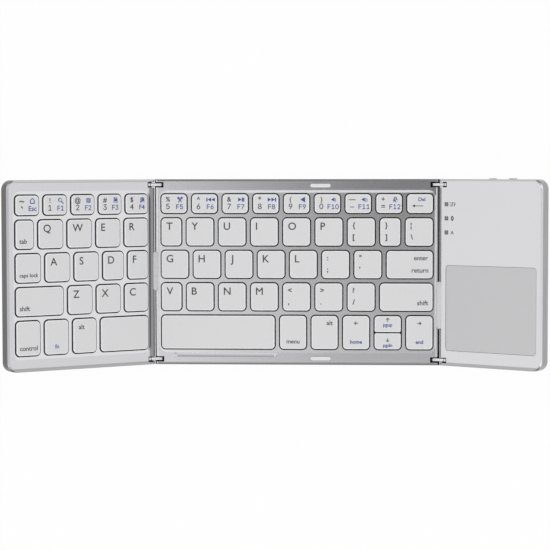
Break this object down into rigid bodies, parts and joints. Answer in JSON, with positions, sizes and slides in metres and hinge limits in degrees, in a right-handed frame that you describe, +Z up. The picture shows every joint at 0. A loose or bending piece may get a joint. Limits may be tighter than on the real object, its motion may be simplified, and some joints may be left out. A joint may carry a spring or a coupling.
{
  "type": "folding keyboard",
  "caption": "Pocket folding keyboard: a key panel with a hinged key wing on the left and a hinged touchpad wing on the right, both half raised.",
  "frame": {"origin": "on the surface the middle panel stands on, under the middle of the whole keyboard", "axes": "+X to the right along the middle panel, +Y to the rear edge, +Z up from the keys"},
  "size_m": [0.2708, 0.0961, 0.0564],
  "materials": {
    "shell": "fine bead-blasted, satin",
    "cover": "satin",
    "keycap": "smooth matt",
    "touchpad": "very smooth matt",
    "pad": "soft, pale",
    "foot": "soft, dark",
    "dome": "soft",
    "steel": "fine brushed",
    "plate": "rolled sheet",
    "film": "clear-coated film",
    "cable": "smooth film",
    "board": "lacquered laminate",
    "cell": "foil pouch",
    "socket": "plated",
    "switch": "moulded",
    "lens": "clear over dark",
    "control": "smooth"
  },
  "bodies": {
    "centre": {"centre_bottom_cover": "cover", "centre_key_frame": "shell", "centre_base_plate": "plate", "centre_membrane": "film", "centre_rubber_domes": "dome", "centre_feet": "foot", "centre_screws": "steel", "bumper_pads": "pad", "left_flex_cable": "cable", "right_flex_cable": "cable"},
    "left_links": {"left_hinge_links": "steel", "left_hinge_pins": "steel"},
    "left_wing": {"left_bottom_cover": "cover", "left_key_frame": "shell", "left_base_plate": "plate", "left_membrane": "film", "left_rubber_domes": "dome", "left_feet": "foot", "left_screws": "steel"},
    "right_links": {"right_hinge_links": "steel", "right_hinge_pins": "steel"},
    "right_wing": {"right_bottom_cover": "cover", "right_top_cover": "shell", "touchpad_plate": "touchpad", "touchpad_board": "board", "main_board": "board", "battery": "cell", "charging_socket": "socket", "power_switch_body": "switch", "indicator_lenses": "lens", "right_feet": "foot", "right_screws": "steel"},
    "power_switch": {"power_switch_knob": "control"},
    "pairing": {"pairing_button": "control"},
    "left_number_row": {"left_number_keys": "keycap"},
    "left_upper_row": {"left_upper_keys": "keycap"},
    "left_home_row": {"left_home_keys": "keycap"},
    "left_lower_row": {"left_lower_keys": "keycap"},
    "tab": {"tab_key": "keycap"},
    "caps_lock": {"caps_lock_key": "keycap"},
    "left_shift": {"left_shift_key": "keycap"},
    "control": {"control_key": "keycap"},
    "function": {"function_key": "keycap"},
    "left_alt": {"left_alt_key": "keycap"},
    "left_space": {"left_space_key": "keycap"},
    "centre_number_row": {"centre_number_keys": "keycap"},
    "centre_upper_row": {"centre_upper_keys": "keycap"},
    "centre_home_row": {"centre_home_keys": "keycap"},
    "centre_lower_row": {"centre_lower_keys": "keycap"},
    "delete": {"delete_key": "keycap"},
    "enter": {"enter_key": "keycap"},
    "right_shift": {"right_shift_key": "keycap"},
    "space": {"space_key": "keycap"},
    "menu": {"menu_key": "keycap"},
    "right_alt": {"right_alt_key": "keycap"},
    "left_arrow": {"left_arrow_key": "keycap"},
    "up_arrow": {"up_arrow_key": "keycap"},
    "down_arrow": {"down_arrow_key": "keycap"},
    "right_arrow": {"right_arrow_key": "keycap"}
  },
  "joints": [
    {"name": "left_link_turn", "type": "hinge", "parent": "centre", "child": "left_links", "pos_m": [-0.06163, 0, 0.005], "axis": [0, 1, 0], "range_deg": [-18, 72], "deforming": ["left_flex_cable"]},
    {"name": "left_wing_fold", "type": "hinge", "parent": "left_links", "child": "left_wing", "pos_m": [-0.06753, 0, 0.00692], "axis": [0, 1, 0], "range_deg": [-18, 72], "deforming": ["left_flex_cable"]},
    {"name": "right_link_turn", "type": "hinge", "parent": "centre", "child": "right_links", "pos_m": [0.07947, 0, 0.005], "axis": [0, -1, 0], "range_deg": [-16, 74], "deforming": ["right_flex_cable"]},
    {"name": "right_wing_fold", "type": "hinge", "parent": "right_links", "child": "right_wing", "pos_m": [0.08543, 0, 0.00671], "axis": [0, -1, 0], "range_deg": [-16, 74], "deforming": ["right_flex_cable"]},
    {"name": "power_switch_slide", "type": "slide", "parent": "right_wing", "child": "power_switch", "axis": [0.848, 0, 0.5299], "range_m": [-0.0025, 0]},
    {"name": "pairing_button_press", "type": "slide", "parent": "right_wing", "child": "pairing", "axis": [0, -1, 0], "range_m": [0, 0.0004], "stiffness_N_per_m": 2500, "springref_m": -0.0003},
    {"name": "left_number_row_press", "type": "slide", "parent": "left_wing", "child": "left_number_row", "axis": [-0.5878, 0, -0.809], "range_m": [0, 0.0018], "stiffness_N_per_m": 250, "springref_m": -0.0008, "deforming": ["left_rubber_domes"]},
    {"name": "left_upper_row_press", "type": "slide", "parent": "left_wing", "child": "left_upper_row", "axis": [-0.5878, 0, -0.809], "range_m": [0, 0.0018], "stiffness_N_per_m": 250, "springref_m": -0.0008, "deforming": ["left_rubber_domes"]},
    {"name": "left_home_row_press", "type": "slide", "parent": "left_wing", "child": "left_home_row", "axis": [-0.5878, 0, -0.809], "range_m": [0, 0.0018], "stiffness_N_per_m": 250, "springref_m": -0.0008, "deforming": ["left_rubber_domes"]},
    {"name": "left_lower_row_press", "type": "slide", "parent": "left_wing", "child": "left_lower_row", "axis": [-0.5878, 0, -0.809], "range_m": [0, 0.0018], "stiffness_N_per_m": 250, "springref_m": -0.0008, "deforming": ["left_rubber_domes"]},
    {"name": "tab_press", "type": "slide", "parent": "left_wing", "child": "tab", "axis": [-0.5878, 0, -0.809], "range_m": [0, 0.0018], "stiffness_N_per_m": 250, "springref_m": -0.0008, "deforming": ["left_rubber_domes"]},
    {"name": "caps_lock_press", "type": "slide", "parent": "left_wing", "child": "caps_lock", "axis": [-0.5878, 0, -0.809], "range_m": [0, 0.0018], "stiffness_N_per_m": 250, "springref_m": -0.0008, "deforming": ["left_rubber_domes"]},
    {"name": "left_shift_press", "type": "slide", "parent": "left_wing", "child": "left_shift", "axis": [-0.5878, 0, -0.809], "range_m": [0, 0.0018], "stiffness_N_per_m": 250, "springref_m": -0.0008, "deforming": ["left_rubber_domes"]},
    {"name": "control_press", "type": "slide", "parent": "left_wing", "child": "control", "axis": [-0.5878, 0, -0.809], "range_m": [0, 0.0018], "stiffness_N_per_m": 250, "springref_m": -0.0008, "deforming": ["left_rubber_domes"]},
    {"name": "function_press", "type": "slide", "parent": "left_wing", "child": "function", "axis": [-0.5878, 0, -0.809], "range_m": [0, 0.0018], "stiffness_N_per_m": 250, "springref_m": -0.0008, "deforming": ["left_rubber_domes"]},
    {"name": "left_alt_press", "type": "slide", "parent": "left_wing", "child": "left_alt", "axis": [-0.5878, 0, -0.809], "range_m": [0, 0.0018], "stiffness_N_per_m": 250, "springref_m": -0.0008, "deforming": ["left_rubber_domes"]},
    {"name": "left_space_press", "type": "slide", "parent": "left_wing", "child": "left_space", "axis": [-0.5878, 0, -0.809], "range_m": [0, 0.0018], "stiffness_N_per_m": 250, "springref_m": -0.0008, "deforming": ["left_rubber_domes"]},
    {"name": "centre_number_row_press", "type": "slide", "parent": "centre", "child": "centre_number_row", "axis": [0, 0, -1], "range_m": [0, 0.0018], "stiffness_N_per_m": 250, "springref_m": -0.0008, "deforming": ["centre_rubber_domes"]},
    {"name": "centre_upper_row_press", "type": "slide", "parent": "centre", "child": "centre_upper_row", "axis": [0, 0, -1], "range_m": [0, 0.0018], "stiffness_N_per_m": 250, "springref_m": -0.0008, "deforming": ["centre_rubber_domes"]},
    {"name": "centre_home_row_press", "type": "slide", "parent": "centre", "child": "centre_home_row", "axis": [0, 0, -1], "range_m": [0, 0.0018], "stiffness_N_per_m": 250, "springref_m": -0.0008, "deforming": ["centre_rubber_domes"]},
    {"name": "centre_lower_row_press", "type": "slide", "parent": "centre", "child": "centre_lower_row", "axis": [0, 0, -1], "range_m": [0, 0.0018], "stiffness_N_per_m": 250, "springref_m": -0.0008, "deforming": ["centre_rubber_domes"]},
    {"name": "delete_press", "type": "slide", "parent": "centre", "child": "delete", "axis": [0, 0, -1], "range_m": [0, 0.0018], "stiffness_N_per_m": 250, "springref_m": -0.0008, "deforming": ["centre_rubber_domes"]},
    {"name": "enter_press", "type": "slide", "parent": "centre", "child": "enter", "axis": [0, 0, -1], "range_m": [0, 0.0018], "stiffness_N_per_m": 250, "springref_m": -0.0008, "deforming": ["centre_rubber_domes"]},
    {"name": "right_shift_press", "type": "slide", "parent": "centre", "child": "right_shift", "axis": [0, 0, -1], "range_m": [0, 0.0018], "stiffness_N_per_m": 250, "springref_m": -0.0008, "deforming": ["centre_rubber_domes"]},
    {"name": "space_press", "type": "slide", "parent": "centre", "child": "space", "axis": [0, 0, -1], "range_m": [0, 0.0018], "stiffness_N_per_m": 250, "springref_m": -0.0008, "deforming": ["centre_rubber_domes"]},
    {"name": "menu_press", "type": "slide", "parent": "centre", "child": "menu", "axis": [0, 0, -1], "range_m": [0, 0.0018], "stiffness_N_per_m": 250, "springref_m": -0.0008, "deforming": ["centre_rubber_domes"]},
    {"name": "right_alt_press", "type": "slide", "parent": "centre", "child": "right_alt", "axis": [0, 0, -1], "range_m": [0, 0.0018], "stiffness_N_per_m": 250, "springref_m": -0.0008, "deforming": ["centre_rubber_domes"]},
    {"name": "left_arrow_press", "type": "slide", "parent": "centre", "child": "left_arrow", "axis": [0, 0, -1], "range_m": [0, 0.0018], "stiffness_N_per_m": 250, "springref_m": -0.0008, "deforming": ["centre_rubber_domes"]},
    {"name": "up_arrow_press", "type": "slide", "parent": "centre", "child": "up_arrow", "axis": [0, 0, -1], "range_m": [0, 0.0018], "stiffness_N_per_m": 250, "springref_m": -0.0008, "deforming": ["centre_rubber_domes"]},
    {"name": "down_arrow_press", "type": "slide", "parent": "centre", "child": "down_arrow", "axis": [0, 0, -1], "range_m": [0, 0.0018], "stiffness_N_per_m": 250, "springref_m": -0.0008, "deforming": ["centre_rubber_domes"]},
    {"name": "right_arrow_press", "type": "slide", "parent": "centre", "child": "right_arrow", "axis": [0, 0, -1], "range_m": [0, 0.0018], "stiffness_N_per_m": 250, "springref_m": -0.0008, "deforming": ["centre_rubber_domes"]}
  ],
  "couplings": [
    {"joint": "left_wing_fold", "follows": "left_link_turn", "ratio": 1},
    {"joint": "right_wing_fold", "follows": "right_link_turn", "ratio": 1}
  ]
}
